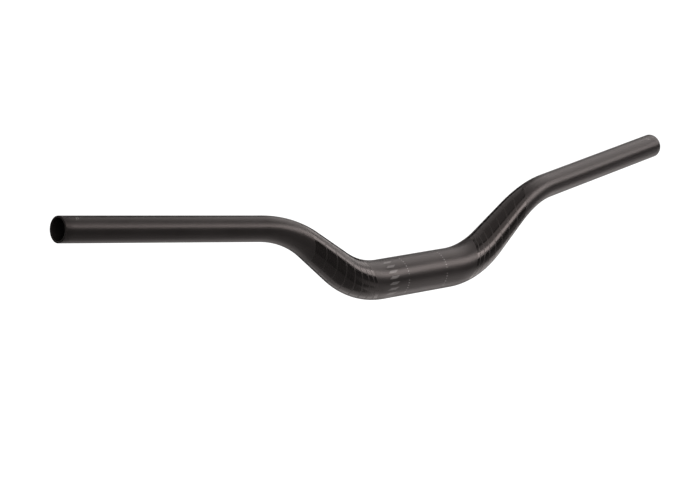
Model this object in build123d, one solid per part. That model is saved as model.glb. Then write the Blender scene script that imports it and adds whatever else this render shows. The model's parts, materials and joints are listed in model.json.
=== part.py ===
from build123d import *
import os
from math import radians, tan

# A riser handlebar for a mountain bike: one butted aluminium tube, tapered from
# the stem clamp to the grips and bent twice on each side. All sizes are in
# millimetres and degrees. The origin is the middle of the stem clamp, +X runs
# along the bar, +Z is up, and the grips sweep back towards +Y.

# The centre line, measured to the middle of each tip
overall_width = 800.0
rise = 77.3
upsweep = 5.0
backsweep = 8.0

# The bends: the inner one lifts the riser, the outer one lays the grip down
riser_angle = 33.0
inner_bend_radius = 104.0
outer_bend_radius = 120.0

# The outside of the tube: a parallel land for the stem, one for each grip
clamp_diameter = 35.0
clamp_land_length = 81.4
grip_diameter = 22.2
grip_land_length = 200.0

# The straight that is left between the stem's land and each inner bend
bend_run_out = 5.5

# The wall is butted: thick where the stem grips it, thin under the grips
clamp_wall = 2.4
grip_wall = 1.8

# Both edges of each tip are broken, so that grips and plugs slide on
tip_chamfer = 0.4

# Sections that shape each span of a taper: the inner bend, the riser, the outer bend
span_sections = 6

# A section's rim is drawn as equal arcs, the first of them starting here
rim_arcs = 3
rim_start = 60.0


def centre_line():
    """The +X half of the tube's centre line, from the middle to the tip."""
    half_width = overall_width / 2
    bend_start = clamp_land_length / 2 + bend_run_out
    inner_corner_x = bend_start + inner_bend_radius * tan(radians(riser_angle / 2))

    # The riser and the grip's upsweep meet where both reach the same height
    riser_slope = tan(radians(riser_angle))
    grip_slope = tan(radians(upsweep))
    height_at_middle = rise - half_width * grip_slope
    outer_corner_x = (inner_corner_x * riser_slope + height_at_middle) / (riser_slope - grip_slope)

    grip_run = half_width - outer_corner_x
    middle = Vector(0, 0, 0)
    inner_corner = Vector(inner_corner_x, 0, 0)
    outer_corner = Vector(outer_corner_x, 0, rise - grip_run * grip_slope)
    tip = Vector(half_width, grip_run * tan(radians(backsweep)), rise)
    radii = [inner_bend_radius, outer_bend_radius]
    return FilletPolyline(middle, inner_corner, outer_corner, tip, radius=radii)


def ease(start, end, share):
    """A value that leaves start and reaches end gently, as the tube's taper does."""
    return start + (end - start) * share * share * (3 - 2 * share)


def across(line, distance):
    """The plane across the centre line, at a distance along it from the middle."""
    middle = line.position_at(distance, position_mode=PositionMode.LENGTH)
    along = line.tangent_at(distance, position_mode=PositionMode.LENGTH)
    return Plane(origin=middle, x_dir=(0, 1, 0), z_dir=along)


def section(line, distance, radius):
    """A disc across the centre line, its rim in arcs so that a loft follows it closely."""
    plane = across(line, distance)
    turn = 360 / rim_arcs
    starts = [rim_start + turn * i for i in range(rim_arcs)]
    arcs = [Edge.make_circle(radius, plane, start_angle=a, end_angle=a + turn) for a in starts]
    return Face(Wire(arcs))


def half_bar(line, clamp_radius, grip_radius):
    """A solid +X half: its share of the clamp's land, the bent taper and the grip's land."""
    taper_start = clamp_land_length / 2
    taper_end = line.length - grip_land_length
    clamp_land = extrude(across(line, 0) * Circle(clamp_radius), taper_start)
    grip_run = line.trim(taper_end / line.length, 1)
    grip_land = sweep(across(line, taper_end) * Circle(grip_radius), path=grip_run)
    bar = clamp_land + grip_land

    middle_straight, inner_bend, riser = [edge.length for edge in line.edges()[:3]]
    riser_start = middle_straight + inner_bend
    riser_ends = [riser_start, riser_start + riser]
    stops = [taper_start] + [end for end in riser_ends if end < taper_end] + [taper_end]
    for start, end in zip(stops, stops[1:]):
        sections = []
        for i in range(span_sections):
            distance = start + (end - start) * i / (span_sections - 1)
            share = (distance - taper_start) / (taper_end - taper_start)
            radius = ease(clamp_radius, grip_radius, share)
            sections.append(section(line, distance, radius))
        bar += loft(sections)
    return bar


def half_tube(line):
    """The +X half of the hollow tube, with the edges of its tip broken."""
    outside = half_bar(line, clamp_diameter / 2, grip_diameter / 2)
    inside = half_bar(line, clamp_diameter / 2 - clamp_wall, grip_diameter / 2 - grip_wall)
    tube = outside - inside
    tip_edges = tube.edges().filter_by(GeomType.CIRCLE).sort_by(Axis.X)[-2:]
    return chamfer(tip_edges, tip_chamfer)


def handlebar():
    """The whole bar: the +X half and its mirror image, as one tube."""
    half = half_tube(centre_line())
    return half + mirror(half, about=Plane.YZ)


os.makedirs("parts", exist_ok=True)
bar = handlebar()
bar.label = "handlebar"
export_step(bar, "parts/handlebar.step")
print("centre line", round(2 * centre_line().length, 1), "mm, volume", round(bar.volume), "mm3")
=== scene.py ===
# %% [markdown]
# # A riser handlebar, from bare frame to finished print
#
# A riser bar is one aluminium tube: thick where the stem holds it, thin under the grips, and
# bent up and back on each side. This one has a satin black coat and a print of gloss bands.
# The frame below already holds the tube at its real size, so nothing is resized here. The
# lesson skins the same tube with enough faces for a close look, prints it and lights it.
# Sizes are in metres, +X runs to the rider's left, +Z is up and +Y points back to the rider.

import json
from math import asin, atan2, ceil, copysign, cos, pi, radians, sin, tan

import bmesh
import bpy
from mathutils import Matrix, Vector


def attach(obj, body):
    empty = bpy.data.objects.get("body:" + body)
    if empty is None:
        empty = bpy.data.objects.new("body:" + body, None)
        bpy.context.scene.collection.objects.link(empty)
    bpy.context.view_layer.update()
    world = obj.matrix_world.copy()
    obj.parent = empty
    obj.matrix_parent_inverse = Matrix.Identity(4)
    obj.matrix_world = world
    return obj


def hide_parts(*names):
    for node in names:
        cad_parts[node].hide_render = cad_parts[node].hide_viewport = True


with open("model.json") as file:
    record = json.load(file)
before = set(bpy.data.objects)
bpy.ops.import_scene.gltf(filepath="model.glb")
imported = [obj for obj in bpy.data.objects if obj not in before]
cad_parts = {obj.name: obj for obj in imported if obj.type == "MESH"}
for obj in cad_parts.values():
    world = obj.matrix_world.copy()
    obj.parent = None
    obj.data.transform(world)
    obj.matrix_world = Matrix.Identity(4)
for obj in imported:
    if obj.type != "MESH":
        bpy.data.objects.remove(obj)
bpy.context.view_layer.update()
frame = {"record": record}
mounts = {mount["name"]: mount for mount in frame["record"]["mounts"]}
print("mounts:", ", ".join(mounts))

# %% [markdown]
# ## The camera
#
# The camera comes first, because every later choice is judged through it. A long lens from
# nearly three metres away keeps the far grip almost as thick as the near one. The camera is
# placed on a sphere round the bar by two angles and then slid sideways and up, which frames
# the bar without a lens shift.

# %% Place the camera
camera_azimuth = radians(-49)
camera_elevation = radians(8)
camera_distance = 2.863
camera_slide_right = -0.0558
camera_slide_up = 0.02803
camera_lens_mm = 167.1
camera_sensor_mm = 36
camera_sees_to = 100


def direction(azimuth, elevation):
    """The way to a place seen from the bar: azimuth 0 is in front of it, 90 past its +X tip."""
    level = cos(elevation)
    return Vector((sin(azimuth) * level, -cos(azimuth) * level, sin(elevation)))


to_camera = direction(camera_azimuth, camera_elevation)
camera_turn = (-to_camera).to_track_quat("-Z", "Y")
camera_right = camera_turn @ Vector((1, 0, 0))
camera_up = camera_turn @ Vector((0, 1, 0))
aim = camera_right * camera_slide_right + camera_up * camera_slide_up

camera_data = bpy.data.cameras.new("product_camera")
camera_data.lens = camera_lens_mm
camera_data.sensor_width = camera_sensor_mm
camera_data.clip_end = camera_sees_to
camera = bpy.data.objects.new("product_camera", camera_data)
bpy.context.scene.collection.objects.link(camera)
camera.location = aim + to_camera * camera_distance
camera.rotation_euler = camera_turn.to_euler()
bpy.context.scene.camera = camera
print("camera at", [round(value, 3) for value in camera.location])

# %% [markdown]
# ## The tube's sizes
#
# The frame's mounts say what others fasten to: the stem's land, the grips' seats and the bores
# of the ends. Reading them here, rather than typing them again, keeps the dressed bar on its
# frame. Only what no mount says is named below: the bends, and the wall under the stem, which
# is thicker than at the grips. Makers call such a tube butted.

# %% Read the sizes
clamp_radius = mounts["stem_clamp"]["dims"]["r_mm"] / 1000
clamp_land = mounts["stem_clamp"]["dims"]["length_mm"] / 1000
grip_radius = mounts["left_grip_seat"]["dims"]["r_mm"] / 1000
grip_seat = mounts["left_grip_seat"]["dims"]["length_mm"] / 1000
grip_middle = Vector(mounts["left_grip_seat"]["pos_m"])
grip_heading = Vector(mounts["left_grip_seat"]["axis"]).normalized()
grip_bore_radius = mounts["left_end_bore"]["dims"]["r_mm"] / 1000

riser_angle = radians(33)
inner_bend_radius = 0.104
outer_bend_radius = 0.120
clamp_wall = 0.0024
tip_break = 0.0004
clamp_bore_radius = clamp_radius - clamp_wall

# %% [markdown]
# ## The centre line
#
# A bender pulls straight tube round a die, so the centre line is straight runs joined by true
# arcs. A curve object with handles would only come near to that. Here each run and each bend
# is a leg that knows its length, and walking a distance along the legs gives a point and a
# heading. Everything else is placed by that distance: rings of the tube, bands and marks.

# %% Lay out the legs of one half
middle_heading = Vector((1, 0, 0))
riser_heading = Vector((cos(riser_angle), 0, sin(riser_angle)))
outer_corner = grip_middle - grip_heading * (grip_middle.y / grip_heading.y)
inner_corner = outer_corner - riser_heading * (outer_corner.z / riser_heading.z)
tip = grip_middle + grip_heading * (grip_seat / 2 + tip_break)


def straight_leg(start, end):
    """A straight run from one point to another."""
    return {"start": start, "heading": (end - start).normalized(), "length": (end - start).length}


def bend_leg(corner, heading, next_heading, radius):
    """A bend that rounds a corner: its start and end, and the centre and axis it turns round."""
    turn = heading.angle(next_heading)
    setback = radius * tan(turn / 2)
    axis = heading.cross(next_heading).normalized()
    start = corner - heading * setback
    return {
        "start": start,
        "end": corner + next_heading * setback,
        "heading": heading,
        "length": radius * turn,
        "centre": start + axis.cross(heading) * radius,
        "axis": axis,
        "radius": radius,
    }


inner_bend = bend_leg(inner_corner, middle_heading, riser_heading, inner_bend_radius)
outer_bend = bend_leg(outer_corner, riser_heading, grip_heading, outer_bend_radius)
legs = [
    straight_leg(Vector((0, 0, 0)), inner_bend["start"]),
    inner_bend,
    straight_leg(inner_bend["end"], outer_bend["start"]),
    outer_bend,
    straight_leg(outer_bend["end"], tip),
]
half_length = sum(leg["length"] for leg in legs)
print("centre line, tip to tip:", round(2 * half_length, 4))

# %% Walk along the centre line


def walk(distance):
    """The point a distance along the +X half's centre line, and the heading there."""
    for leg in legs:
        if distance <= leg["length"] or leg is legs[-1]:
            break
        distance -= leg["length"]
    if "centre" not in leg:
        return leg["start"] + leg["heading"] * distance, leg["heading"]
    turn = Matrix.Rotation(distance / leg["radius"], 3, leg["axis"])
    point = leg["centre"] + turn @ (leg["start"] - leg["centre"])
    return point, turn @ leg["heading"]


def pose(along):
    """The axes across the tube, a signed distance from the middle: X runs on, Y back, Z up."""
    point, heading = walk(abs(along))
    if along < 0:
        point = Vector((-point.x, point.y, point.z))
        heading = Vector((heading.x, -heading.y, -heading.z))
    back = (Vector((0, 1, 0)) - heading * heading.y).normalized()
    axes = Matrix((heading, back, heading.cross(back))).transposed()
    return Matrix.Translation(point) @ axes.to_4x4()


taper_start = clamp_land / 2
taper_end = half_length - grip_seat - tip_break


def ease(share):
    """Goes gently from 0 to 1 as the share does, and stays at either end."""
    share = min(max(share, 0), 1)
    return share * share * (3 - 2 * share)


def coat_radius(along):
    """The outside's radius at a signed distance from the middle."""
    share = ease((abs(along) - taper_start) / (taper_end - taper_start))
    return clamp_radius + (grip_radius - clamp_radius) * share


def bore_radius(along):
    """The bore's radius there. The wall thins with the taper."""
    share = ease((abs(along) - taper_start) / (taper_end - taper_start))
    return clamp_bore_radius + (grip_bore_radius - clamp_bore_radius) * share


print("each taper runs from", round(taper_start, 4), "to", round(taper_end, 4))

# %% [markdown]
# ## The gloss bands
#
# Eight gloss black bands climb each riser, shorter and shorter towards the middle, with a
# hair of satin coat between them. They don't go straight round the tube: each leans outwards
# over the top. On the real bar they are masked when it is sprayed. They could be painted by a
# mask in the material, but an edge that follows the mesh stays sharp at any distance, so the
# tube gets a leaning ring of edges at every end of a band.

# %% Work out where the bands lie
bands_outer_end = 0.1560
band_count = 8
longest_pitch = 0.0168
pitch_step = 0.00165
band_gap = 0.0017

bands = []
band_end = bands_outer_end
for i in range(band_count):
    pitch = longest_pitch - pitch_step * i
    bands.append((band_end - pitch + band_gap / 2, band_end - band_gap / 2))
    band_end -= pitch
band_edges = [edge for band in bands for edge in band]
print("bands reach from", round(min(band_edges), 4), "to", round(max(band_edges), 4))

# %% [markdown]
# ## The lean of a ring
#
# Across the front the lean is an even slope, and it turns back behind the bar, so that the ring
# closes. The arc sine of a sine does that: it climbs and falls in straight runs. A factor
# just under one rounds its corners. A small bow is added, nothing in front and most behind.
# Beside the bands the lean fades out, which brings the rings back upright before the stem's
# middle and the grips.

# %% Lean the rings
lean_per_radian = 0.0107
lean_rounding = 0.995
lean_bow = 0.0021
lean_starts = 0.015
lean_ends = 0.212


def lean(angle):
    """How far outwards a band lies at an angle round the bar, 0 in front and a quarter turn on top."""
    slope = lean_per_radian * asin(lean_rounding * sin(angle))
    return slope + lean_bow * (1 - cos(angle))


def leaning(along, angle):
    """Where a point of a ring comes to lie along the bar once the ring leans."""
    out = abs(along)
    inner_share = (out - lean_starts) / (min(band_edges) - lean_starts)
    outer_share = (lean_ends - out) / (lean_ends - max(band_edges))
    return copysign(out + lean(angle) * ease(inner_share) * ease(outer_share), along)


print("over the top a band lies", round(lean(pi / 2) - lean(-pi / 2), 4), "further out than below")

# %% [markdown]
# ## The rings of the tube
#
# The tube is a chain of rings. They stand close where it bends or tapers, because a long step
# there shows as a flat, and further apart on the straight lands. The wall is a true wall: the
# chain runs out along the coat, over the cut end at one tip and back down the bore.

# %% Choose the rings
ring_sides = 128
bent_pitch = 0.0025
straight_pitch = 0.008
bore_pitch = 0.006


def spaced(stops, pitch_at):
    """The stops, with even steps from each to the next that are no longer than the pitch there."""
    places = [stops[0]]
    for start, end in zip(stops, stops[1:]):
        steps = ceil((end - start) / pitch_at((start + end) / 2))
        places += [start + (end - start) * i / steps for i in range(1, steps)]
        places.append(end)
    return places


def both_halves(places):
    """Places along the +X half, from the middle out, repeated on the other half."""
    return [-place for place in reversed(places[1:])] + places


def coat_pitch(along):
    """The longest step there between two rings of the coat."""
    return bent_pitch if lean_starts < along < taper_end else straight_pitch


coat_stops = sorted([0, lean_starts, taper_end, half_length, *band_edges])
coat_places = both_halves(spaced(coat_stops, coat_pitch))
bore_places = both_halves(spaced([0, half_length], lambda along: bore_pitch))
rings = [(place, coat_radius(place)) for place in coat_places]
rings += [(place, bore_radius(place)) for place in reversed(bore_places)]
print(len(coat_places), "rings on the coat,", len(bore_places), "in the bore")

# %% [markdown]
# ## The tube
#
# The tube is made as the factory makes it, straight first and then bent. The first ring is a
# circle of edges. Each later one is extruded from it and carried to its own place and size by
# one matrix. The last ring is bridged to the first, which closes the wall, and a small bevel
# breaks the edges of both cut ends. The coat stops there.

# %% Extrude the rings into a straight blank
SATIN, GLOSS, BORE = range(3)
lip_segments = 3


def coat_finish(start, end):
    """The finish of the faces between two rings of the coat."""
    middle = abs(start + end) / 2
    return GLOSS if any(low < middle < high for low, high in bands) else SATIN


def grow_ring(bm, ring, carry, finish):
    """Extrudes a ring of edges, carries the new ring by a matrix and gives the faces a finish."""
    grown = bmesh.ops.extrude_edge_only(bm, edges=ring)["geom"]
    verts = {part for part in grown if isinstance(part, bmesh.types.BMVert)}
    bmesh.ops.transform(bm, matrix=carry, verts=list(verts))
    edges = [part for part in grown if isinstance(part, bmesh.types.BMEdge)]
    new_ring = [edge for edge in edges if verts.issuperset(edge.verts)]
    for face in {face for edge in new_ring for face in edge.link_faces}:
        face.material_index = finish
    return new_ring


def upright(along, radius):
    """The matrix that carries a ring of radius 1 to its place on the straight blank."""
    return Matrix.Translation((along, 0, 0)) @ Matrix.Diagonal((1, radius, radius, 1))


tube = bmesh.new()
facing_along = Matrix.Rotation(pi / 2, 4, "Y")
bmesh.ops.create_circle(
    tube, segments=ring_sides, radius=1, matrix=upright(*rings[0]) @ facing_along
)
first_ring = tube.edges[:]
ring = first_ring
tip_rings = [first_ring]
for count, (previous, current) in enumerate(zip(rings, rings[1:]), start=1):
    outside = count < len(coat_places)
    finish = coat_finish(previous[0], current[0]) if outside else BORE
    ring = grow_ring(tube, ring, upright(*current) @ upright(*previous).inverted(), finish)
    if abs(current[0]) == half_length:
        tip_rings.append(ring)

end_faces = bmesh.ops.bridge_loops(tube, edges=first_ring + ring)["faces"]
for face in end_faces:
    face.material_index = BORE
lips = bmesh.ops.bevel(
    tube,
    geom=[edge for tip_ring in tip_rings for edge in tip_ring],
    affect="EDGES",
    offset=tip_break,
    segments=lip_segments,
    profile=0.5,
    material=-1,
)["faces"]
for face in lips:
    face.material_index = BORE
bmesh.ops.recalc_face_normals(tube, faces=tube.faces)
print(len(tube.faces), "faces, straight volume", round(tube.calc_volume() * 1e9), "mm3")

# %% [markdown]
# ## Lean and bend
#
# On the straight blank a point of the coat slides along to where its ring leans, and its radius
# follows the taper. Then every point is carried from the straight line to the bent one. No
# operator bends along a line of one's own, so this is a loop over the points. The bore's
# rings stay upright: nobody sees them, and they close the wall just as well.

# %% Bend the blank


def on_coat(along, angle, lift=0.0):
    """A point of the straight blank's coat, or a little above it."""
    radius = coat_radius(along) + lift
    return Vector((along, -cos(angle) * radius, sin(angle) * radius))


def bend(bm):
    """Carries every point of something straight to its place on the bent centre line."""
    for vert in bm.verts:
        along, back, up = vert.co
        vert.co = pose(along) @ Vector((0, back, up))


for vert in tube.verts:
    along, back, up = vert.co
    coated = all(face.material_index != BORE for face in vert.link_faces)
    if coated and lean_starts < abs(along) < lean_ends:
        angle = atan2(up, -back)
        vert.co = on_coat(leaning(along, angle), angle)
bend(tube)
for face in tube.faces:
    face.smooth = True
loose = [edge for edge in tube.edges if len(edge.link_faces) != 2]
print(len(loose), "open edges,", len(tip_rings), "tip rings")
print("wall volume", round(tube.calc_volume() * 1e9), "mm3")

# %% [markdown]
# ## The satin coat
#
# Black paint is hardly a colour: what the eye reads is how it reflects. This coat is a satin
# lacquer over dark primer. Seen close up it has a fine grain, like the skin of an orange made
# very small, and its sheen wanders a little where the spray lay thicker. Both come from noise on
# the object's own coordinates, so they stay put from every side. Values that are the same all
# over the bar sit on the shader's own sockets, and only what varies comes from nodes.

# %% Helpers for every finish
warm_reflection = (1.0, 0.90, 0.88, 1)

# Noise of this kind seldom goes below or above these two values
noise_low = 0.3
noise_high = 0.7


def new_finish(name, colour, roughness):
    """A material with a Principled shader in one colour and roughness."""
    material = bpy.data.materials.new(name)
    material.use_nodes = True
    shader = material.node_tree.nodes["Principled BSDF"]
    shader.inputs["Base Color"].default_value = (*colour, 1)
    shader.inputs["Roughness"].default_value = roughness
    shader.inputs["Specular Tint"].default_value = warm_reflection
    return material


def add_noise(material, size, detail, stretch=(1, 1, 1)):
    """Noise on Object coordinates, its grain about as large as size in metres."""
    nodes, links = material.node_tree.nodes, material.node_tree.links
    place = nodes.new("ShaderNodeTexCoord")
    mapping = nodes.new("ShaderNodeMapping")
    mapping.inputs["Scale"].default_value = stretch
    noise = nodes.new("ShaderNodeTexNoise")
    noise.inputs["Scale"].default_value = 1 / size
    noise.inputs["Detail"].default_value = detail
    links.new(place.outputs["Object"], mapping.inputs["Vector"])
    links.new(mapping.outputs["Vector"], noise.inputs["Vector"])
    return noise.outputs["Fac"]


def vary_roughness(material, fac, spread):
    """Lets noise carry the roughness as far as spread below and above its middle value."""
    nodes, links = material.node_tree.nodes, material.node_tree.links
    roughness = nodes["Principled BSDF"].inputs["Roughness"]
    reach = nodes.new("ShaderNodeMapRange")
    reach.inputs["From Min"].default_value = noise_low
    reach.inputs["From Max"].default_value = noise_high
    reach.inputs["To Min"].default_value = roughness.default_value - spread
    reach.inputs["To Max"].default_value = roughness.default_value + spread
    links.new(fac, reach.inputs["Value"])
    links.new(reach.outputs["Result"], roughness)


def vary_colour(material, fac, share):
    """Lets noise darken and lighten the colour by up to a share of it."""
    nodes, links = material.node_tree.nodes, material.node_tree.links
    colour = nodes["Principled BSDF"].inputs["Base Color"]
    red, green, blue, _ = colour.default_value
    blend = nodes.new("ShaderNodeValToRGB")
    dark_end, light_end = blend.color_ramp.elements
    for end, place, scale in ((dark_end, noise_low, 1 - share), (light_end, noise_high, 1 + share)):
        end.position = place
        end.color = (red * scale, green * scale, blue * scale, 1)
    links.new(fac, blend.inputs["Fac"])
    links.new(blend.outputs["Color"], colour)


def add_grain(material, fac, depth, strength):
    """Raises the surface by noise, as much as depth in metres."""
    nodes, links = material.node_tree.nodes, material.node_tree.links
    bump = nodes.new("ShaderNodeBump")
    bump.inputs["Strength"].default_value = strength
    bump.inputs["Distance"].default_value = depth
    links.new(fac, bump.inputs["Height"])
    links.new(bump.outputs["Normal"], nodes["Principled BSDF"].inputs["Normal"])


# %% Make the satin coat
satin_black = (0.005, 0.0045, 0.0044)
satin_coat = new_finish("satin_black_coat", satin_black, roughness=0.36)
sheen_drift = add_noise(satin_coat, size=0.030, detail=3)
vary_roughness(satin_coat, sheen_drift, spread=0.02)
vary_colour(satin_coat, sheen_drift, share=0.2)
spray_grain = add_noise(satin_coat, size=0.0003, detail=2)
add_grain(satin_coat, spray_grain, depth=0.000010, strength=0.35)
print("satin coat:", len(satin_coat.node_tree.nodes), "nodes")

# %% [markdown]
# ## The gloss bands' lacquer
#
# Where the bar was masked for the bands the lacquer is clear and shines through to a deeper
# black. It is no mirror: it flowed out before it dried, which leaves soft waves a few
# millimetres long and no grain. So it takes a lower roughness and a wider, shallower bump.

# %% Make the gloss lacquer
gloss_black = (0.003, 0.0027, 0.0026)
gloss_coat = new_finish("gloss_black_band", gloss_black, roughness=0.175)
flow = add_noise(gloss_coat, size=0.006, detail=1)
vary_roughness(gloss_coat, flow, spread=0.01)
add_grain(gloss_coat, flow, depth=0.000003, strength=0.3)
print("gloss lacquer:", len(gloss_coat.node_tree.nodes), "nodes")

# %% [markdown]
# ## The bore and the cut ends
#
# A drawn tube keeps long, fine scratches from the mandrel inside it. Anodising has turned the
# bore and the sawn ends a dull black that reflects much less than the coat, so it takes little
# of the shader's specular level. Noise stretched along the bar gives the scratches.

# %% Make the finish of the bore
bore_black = (0.004, 0.0036, 0.0035)
bore_shine = 0.15
along_the_bar = (0.02, 1, 1)
bore_finish = new_finish("dark_bore", bore_black, roughness=0.55)
bore_finish.node_tree.nodes["Principled BSDF"].inputs["Specular IOR Level"].default_value = bore_shine
scratches = add_noise(bore_finish, size=0.0006, detail=2, stretch=along_the_bar)
vary_roughness(bore_finish, scratches, spread=0.07)
add_grain(bore_finish, scratches, depth=0.000020, strength=0.3)
print("bore's finish:", len(bore_finish.node_tree.nodes), "nodes")

# %% [markdown]
# ## From mesh to piece
#
# A piece is a plain mesh object that stands at the frame's origin, unturned, so that its points
# are real places on the bar. It rides on the frame's one body and goes where the part goes. The
# tube also stands in for the CAD solid, which would otherwise lie inside it and show through.
# Its three finishes come in the order that the faces were numbered in.

# %% Put the tube in the scene


def to_piece(bm, name, *materials):
    """Makes a piece of the bar from a bmesh: an object at the origin, riding on the frame."""
    mesh = bpy.data.meshes.new(name)
    bm.to_mesh(mesh)
    bm.free()
    for material in materials:
        mesh.materials.append(material)
    piece = bpy.data.objects.new(name, mesh)
    bpy.context.scene.collection.objects.link(piece)
    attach(piece, "root")
    return piece


tube_piece = to_piece(tube, "handlebar_tube", satin_coat, gloss_coat, bore_finish)
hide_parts("handlebar")
print(tube_piece.name, "has", len(tube_piece.data.polygons), "faces")

# %% [markdown]
# ## Ink on a round bar
#
# The small marks are pad-printed in grey ink, a few hundredths of a millimetre thick. On a
# screen they could be a mask in the coat's material, but ink has an edge and its own sheen, so
# each mark here is a thin closed sheet. It starts as a flat grid, which is easy to place by two
# lengths: along the bar, and round it from its front. One helper wraps the grids round the coat
# and gives them the ink's thickness, half sunk so that no gap can show.

# %% Wrap flat marks round the coat
ink_lift = 0.00003
ink_thickness = 0.00005
ink_cell = 0.001


def add_mark(bm, along, angle, length, width, slant=0):
    """Adds a flat patch, its length along the bar. A slant moves its upper edge that much further."""
    shape = Matrix.Diagonal((length / 2, width / 2, 1, 1))
    shape[0][1] = slant / 2
    place = Matrix.Translation((along, angle * coat_radius(along), 0))
    columns = ceil(length / ink_cell)
    rows = ceil(width / ink_cell)
    bmesh.ops.create_grid(bm, x_segments=columns, y_segments=rows, size=1, matrix=place @ shape)


def wrap_marks(bm):
    """Wraps the flat patches round the coat and gives them the ink's thickness."""
    for vert in bm.verts:
        along, around, _ = vert.co
        vert.co = on_coat(along, around / coat_radius(along), ink_lift)
    bend(bm)
    bm.normal_update()
    bmesh.ops.solidify(bm, geom=bm.faces[:], thickness=ink_thickness)
    bmesh.ops.recalc_face_normals(bm, faces=bm.faces)


# %% [markdown]
# ## Two inks
#
# The fine marks are printed in a pale grey and the bars beside the stem in a darker one, so that
# they don't outshine the gloss bands. Ink reflects a little more than the coat round it. Its
# noise is fine, because a pad leaves the ink a little uneven.

# %% Mix the inks
ink_hue = (1, 0.94, 0.92)
ink_shine = 0.85
ink_reflection = (1.0, 0.96, 0.95, 1)


def mix_ink(name, grey):
    """A shiny print ink, its grey a little uneven."""
    ink = new_finish(name, [part * grey for part in ink_hue], roughness=0.36)
    shader = ink.node_tree.nodes["Principled BSDF"]
    shader.inputs["Specular IOR Level"].default_value = ink_shine
    shader.inputs["Specular Tint"].default_value = ink_reflection
    cover = add_noise(ink, size=0.0008, detail=3)
    vary_colour(ink, cover, share=0.15)
    vary_roughness(ink, cover, spread=0.04)
    return ink


pale_ink = mix_ink("pale_ink", grey=0.12)
grey_ink = mix_ink("grey_ink", grey=0.034)
print("inks:", pale_ink.name, "and", grey_ink.name)

# %% [markdown]
# ## The scales beside the stem
#
# A rider turns the bar in the stem until the levers feel right and reads the angle off two
# rings of ticks, one on each side of the stem. Every second tick is longer. The ring is broken
# at the front, where the stem's face plate splits.

# %% Print the scales
scale_place = 0.026
tick_step = radians(8)
upper_start = radians(14)
upper_count = 8
lower_start = radians(-4)
lower_count = 6
tick_width = 0.0007
short_tick = 0.0008
long_tick = 0.0014

upper_ticks = [upper_start + tick_step * i for i in range(upper_count)]
lower_ticks = [lower_start - tick_step * i for i in range(lower_count)]
scales = bmesh.new()
for side in (-1, 1):
    for ticks in (upper_ticks, lower_ticks):
        for count, angle in enumerate(ticks):
            length = long_tick if count % 2 else short_tick
            add_mark(scales, side * scale_place, angle, length, tick_width)
wrap_marks(scales)
print("scales:", len(scales.faces), "faces, volume", round(scales.calc_volume() * 1e9, 3), "mm3")
to_piece(scales, "clamp_scales", pale_ink)

# %% [markdown]
# ## The bars beside one scale
#
# Between one scale and the inner bend sits a row of plain slanted bars, stacked round the tube.
# They are long enough to bend with it, and the grid's small cells let them follow the coat.

# %% Print the slanted bars
bars_place = -0.0455
bar_count = 8
top_bar_degrees = 62
bar_step_degrees = 17
bar_length = 0.010
bar_width = 0.0024
bar_slant = 0.004

side_bars = bmesh.new()
for i in range(bar_count):
    angle = radians(top_bar_degrees - bar_step_degrees * i)
    add_mark(side_bars, bars_place, angle, bar_length, bar_width, bar_slant)
wrap_marks(side_bars)
print("bars:", len(side_bars.faces), "faces")
to_piece(side_bars, "slanted_bars", grey_ink)

# %% [markdown]
# ## The trim marks near the tips
#
# Short slanted lines near each tip show where a narrower rider may saw the bar down. From the
# camera they are specks, so each is one plain line of the pale ink. Each is given by how far
# from the tip it lies, its angle and its width round the bar. A wider one slants more, as if
# all were cut from one slanted stripe.

# %% Print the trim marks
trim_places = [0.0076, 0.0135, 0.0154, 0.0184]
trim_angles = [radians(66), radians(57), radians(60), radians(66)]
trim_widths = [0.0008, 0.0036, 0.0030, 0.0010]
trim_line = 0.0004
trim_slant = 0.0010

trim_marks = bmesh.new()
for side in (-1, 1):
    for from_tip, angle, width in zip(trim_places, trim_angles, trim_widths):
        slant = -side * trim_slant * width / max(trim_widths)
        add_mark(trim_marks, side * (half_length - from_tip), angle, trim_line, width, slant)
wrap_marks(trim_marks)
print("trim marks:", len(trim_marks.faces), "faces")
to_piece(trim_marks, "trim_marks", pale_ink)

# %% [markdown]
# ## The studio
#
# A plain pale floor runs to the horizon under a pale room, so the bar stands before white from
# every side. On a real set, black cards keep that white out of a dark tube's reflections. Here
# the same is one switch each: neither the floor nor the room shows in glossy reflections, and
# what the tube reflects is only the lights below.

# %% Lay the floor and light the room
floor_drop = 0.65
floor_size = 60
floor_white = (0.9, 0.9, 0.9, 1)
floor_roughness = 0.9
room_white = (1, 1, 1, 1)
room_brightness = 1.25

floor_bmesh = bmesh.new()
bmesh.ops.create_grid(floor_bmesh, x_segments=1, y_segments=1, size=floor_size / 2)
bmesh.ops.translate(floor_bmesh, verts=floor_bmesh.verts, vec=(0, 0, -floor_drop))
floor_mesh = bpy.data.meshes.new("studio_floor")
floor_bmesh.to_mesh(floor_mesh)
floor_bmesh.free()
floor_material = bpy.data.materials.new("pale_floor")
floor_material.use_nodes = True
floor_shader = floor_material.node_tree.nodes["Principled BSDF"]
floor_shader.inputs["Base Color"].default_value = floor_white
floor_shader.inputs["Roughness"].default_value = floor_roughness
floor_shader.inputs["Specular IOR Level"].default_value = 0
floor_mesh.materials.append(floor_material)
floor = bpy.data.objects.new("studio_floor", floor_mesh)
bpy.context.scene.collection.objects.link(floor)
floor.visible_glossy = False

room = bpy.data.worlds.new("pale_room")
room.use_nodes = True
backdrop = room.node_tree.nodes["Background"]
backdrop.inputs["Color"].default_value = room_white
backdrop.inputs["Strength"].default_value = room_brightness
bpy.context.scene.world = room
room.cycles_visibility.glossy = False

# Plain tones: what the lights make white shows as white
bpy.context.scene.view_settings.view_transform = "Standard"
print("floor", floor_drop, "below the bar, room brightness", room_brightness)

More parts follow.
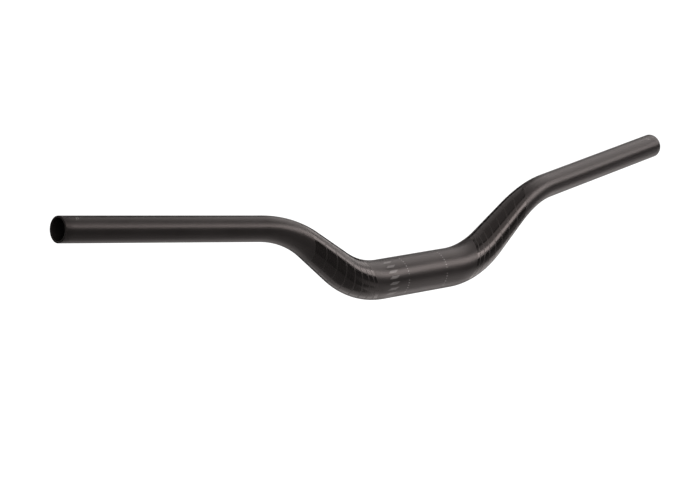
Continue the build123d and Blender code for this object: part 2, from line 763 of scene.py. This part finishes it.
# %% [markdown]
# ## A softbox
#
# A softbox is a lamp behind white cloth: an even, rectangular light. A gloss tube shows it as a
# bright shape with clear edges, and a satin one as a soft streak. Here each is an area light
# that faces the bar. What counts is how bright its cloth looks, so a box is given that, and its
# power follows from its size.

# %% Make a softbox
warm_light = (1.0, 0.935, 0.915)
box_distance = 2.0


def softbox(name, azimuth, elevation, width, height, brightness, distance=box_distance):
    """An area light that faces the bar. Its power follows from how bright its face is."""
    light = bpy.data.lights.new(name, "AREA")
    light.color = warm_light
    light.shape = "RECTANGLE"
    light.size = width
    light.size_y = height
    light.energy = brightness * pi * width * height
    lamp = bpy.data.objects.new(name, light)
    bpy.context.scene.collection.objects.link(lamp)
    away = direction(radians(azimuth), radians(elevation))
    lamp.location = away * distance
    lamp.rotation_euler = away.to_track_quat("Z", "Y").to_euler()
    lamp.visible_camera = False


def row_of_boxes(name, places, elevation, width, height, distance=box_distance):
    """Equal boxes side by side. A place is an azimuth and how bright the box there is."""
    for azimuth, brightness in places:
        softbox(f"{name}_{azimuth}", azimuth, elevation, width, height, brightness, distance)


# %% [markdown]
# ## The lights over the bar
#
# Two rows of softboxes stand to the right of the camera and bend round the bar. They get dimmer
# to the right, which draws the bright line along the tube: sharp below, where the boxes end, and
# soft above. Dimmer boxes over the bar and behind it fill the top and the far edge.

# %% Hang the lights over the bar
row_of_boxes("lower", [(58, 3.8), (78, 1.9), (98, 1.5)], elevation=13.5, width=0.70, height=0.28)
upper_places = [(58, 4.9), (78, 1.0), (98, 1.6), (118, 0.9)]
row_of_boxes("upper", upper_places, elevation=24, width=0.70, height=0.40)
softbox("left_end", 34, 21.5, width=0.95, height=0.48, brightness=5.1)
softbox("left_fade", 34, 40, width=1.0, height=0.7, brightness=1.1)
softbox("right_top", 95, 42, width=1.4, height=0.7, brightness=1.7)
softbox("overhead", 70, 78, width=1.6, height=1.6, brightness=0.40)
softbox("back_top", 155, 52, width=1.2, height=1.2, brightness=0.6)
softbox("far_edge", 137, 8, width=1.2, height=0.4, brightness=0.65, distance=2.5)

# %% [markdown]
# ## The low boxes
#
# A bar in the air over a pale table gets light from below, more of it the further a side turns
# down. Boxes do the same here, because the floor is kept out of the reflections. The further
# under the bar a box lies, the nearer to it the box has to be, because the floor is close.

# %% Lay the low boxes
row_of_boxes("far", [(72, 0.25), (99, 0.95)], elevation=-9, width=0.90, height=0.40)
middle_places = [(55, 0.5), (90, 1.2), (125, 0.3)]
row_of_boxes("middle", middle_places, elevation=-24, width=0.85, height=0.40, distance=1.45)
near_places = [(75, 0.6), (125, 0.33)]
row_of_boxes("near", near_places, elevation=-44, width=0.80, height=0.40, distance=0.85)
softbox("under_front", 50, -76, width=1.20, height=0.60, brightness=0.21, distance=0.60)
softbox("under_back", 140, -62, width=0.80, height=0.45, brightness=0.50, distance=0.65)
softbox("front_low", 38, -21, width=1.20, height=1.25, brightness=0.10, distance=1.60)

# %% [markdown]
# ## The boxes for the other sides
#
# Three large boxes hardly show from the camera. They shape the tube for whoever walks round it,
# because a bar that is lit from one side only looks flat and black from the others.

# %% Hang the boxes for the other sides
softbox("side_low", -75, 18, width=1.6, height=0.5, brightness=3.5)
softbox("side_back", -140, 22, width=1.8, height=0.6, brightness=3.0)
softbox("front_top", -25, 40, width=1.6, height=0.6, brightness=6.0)
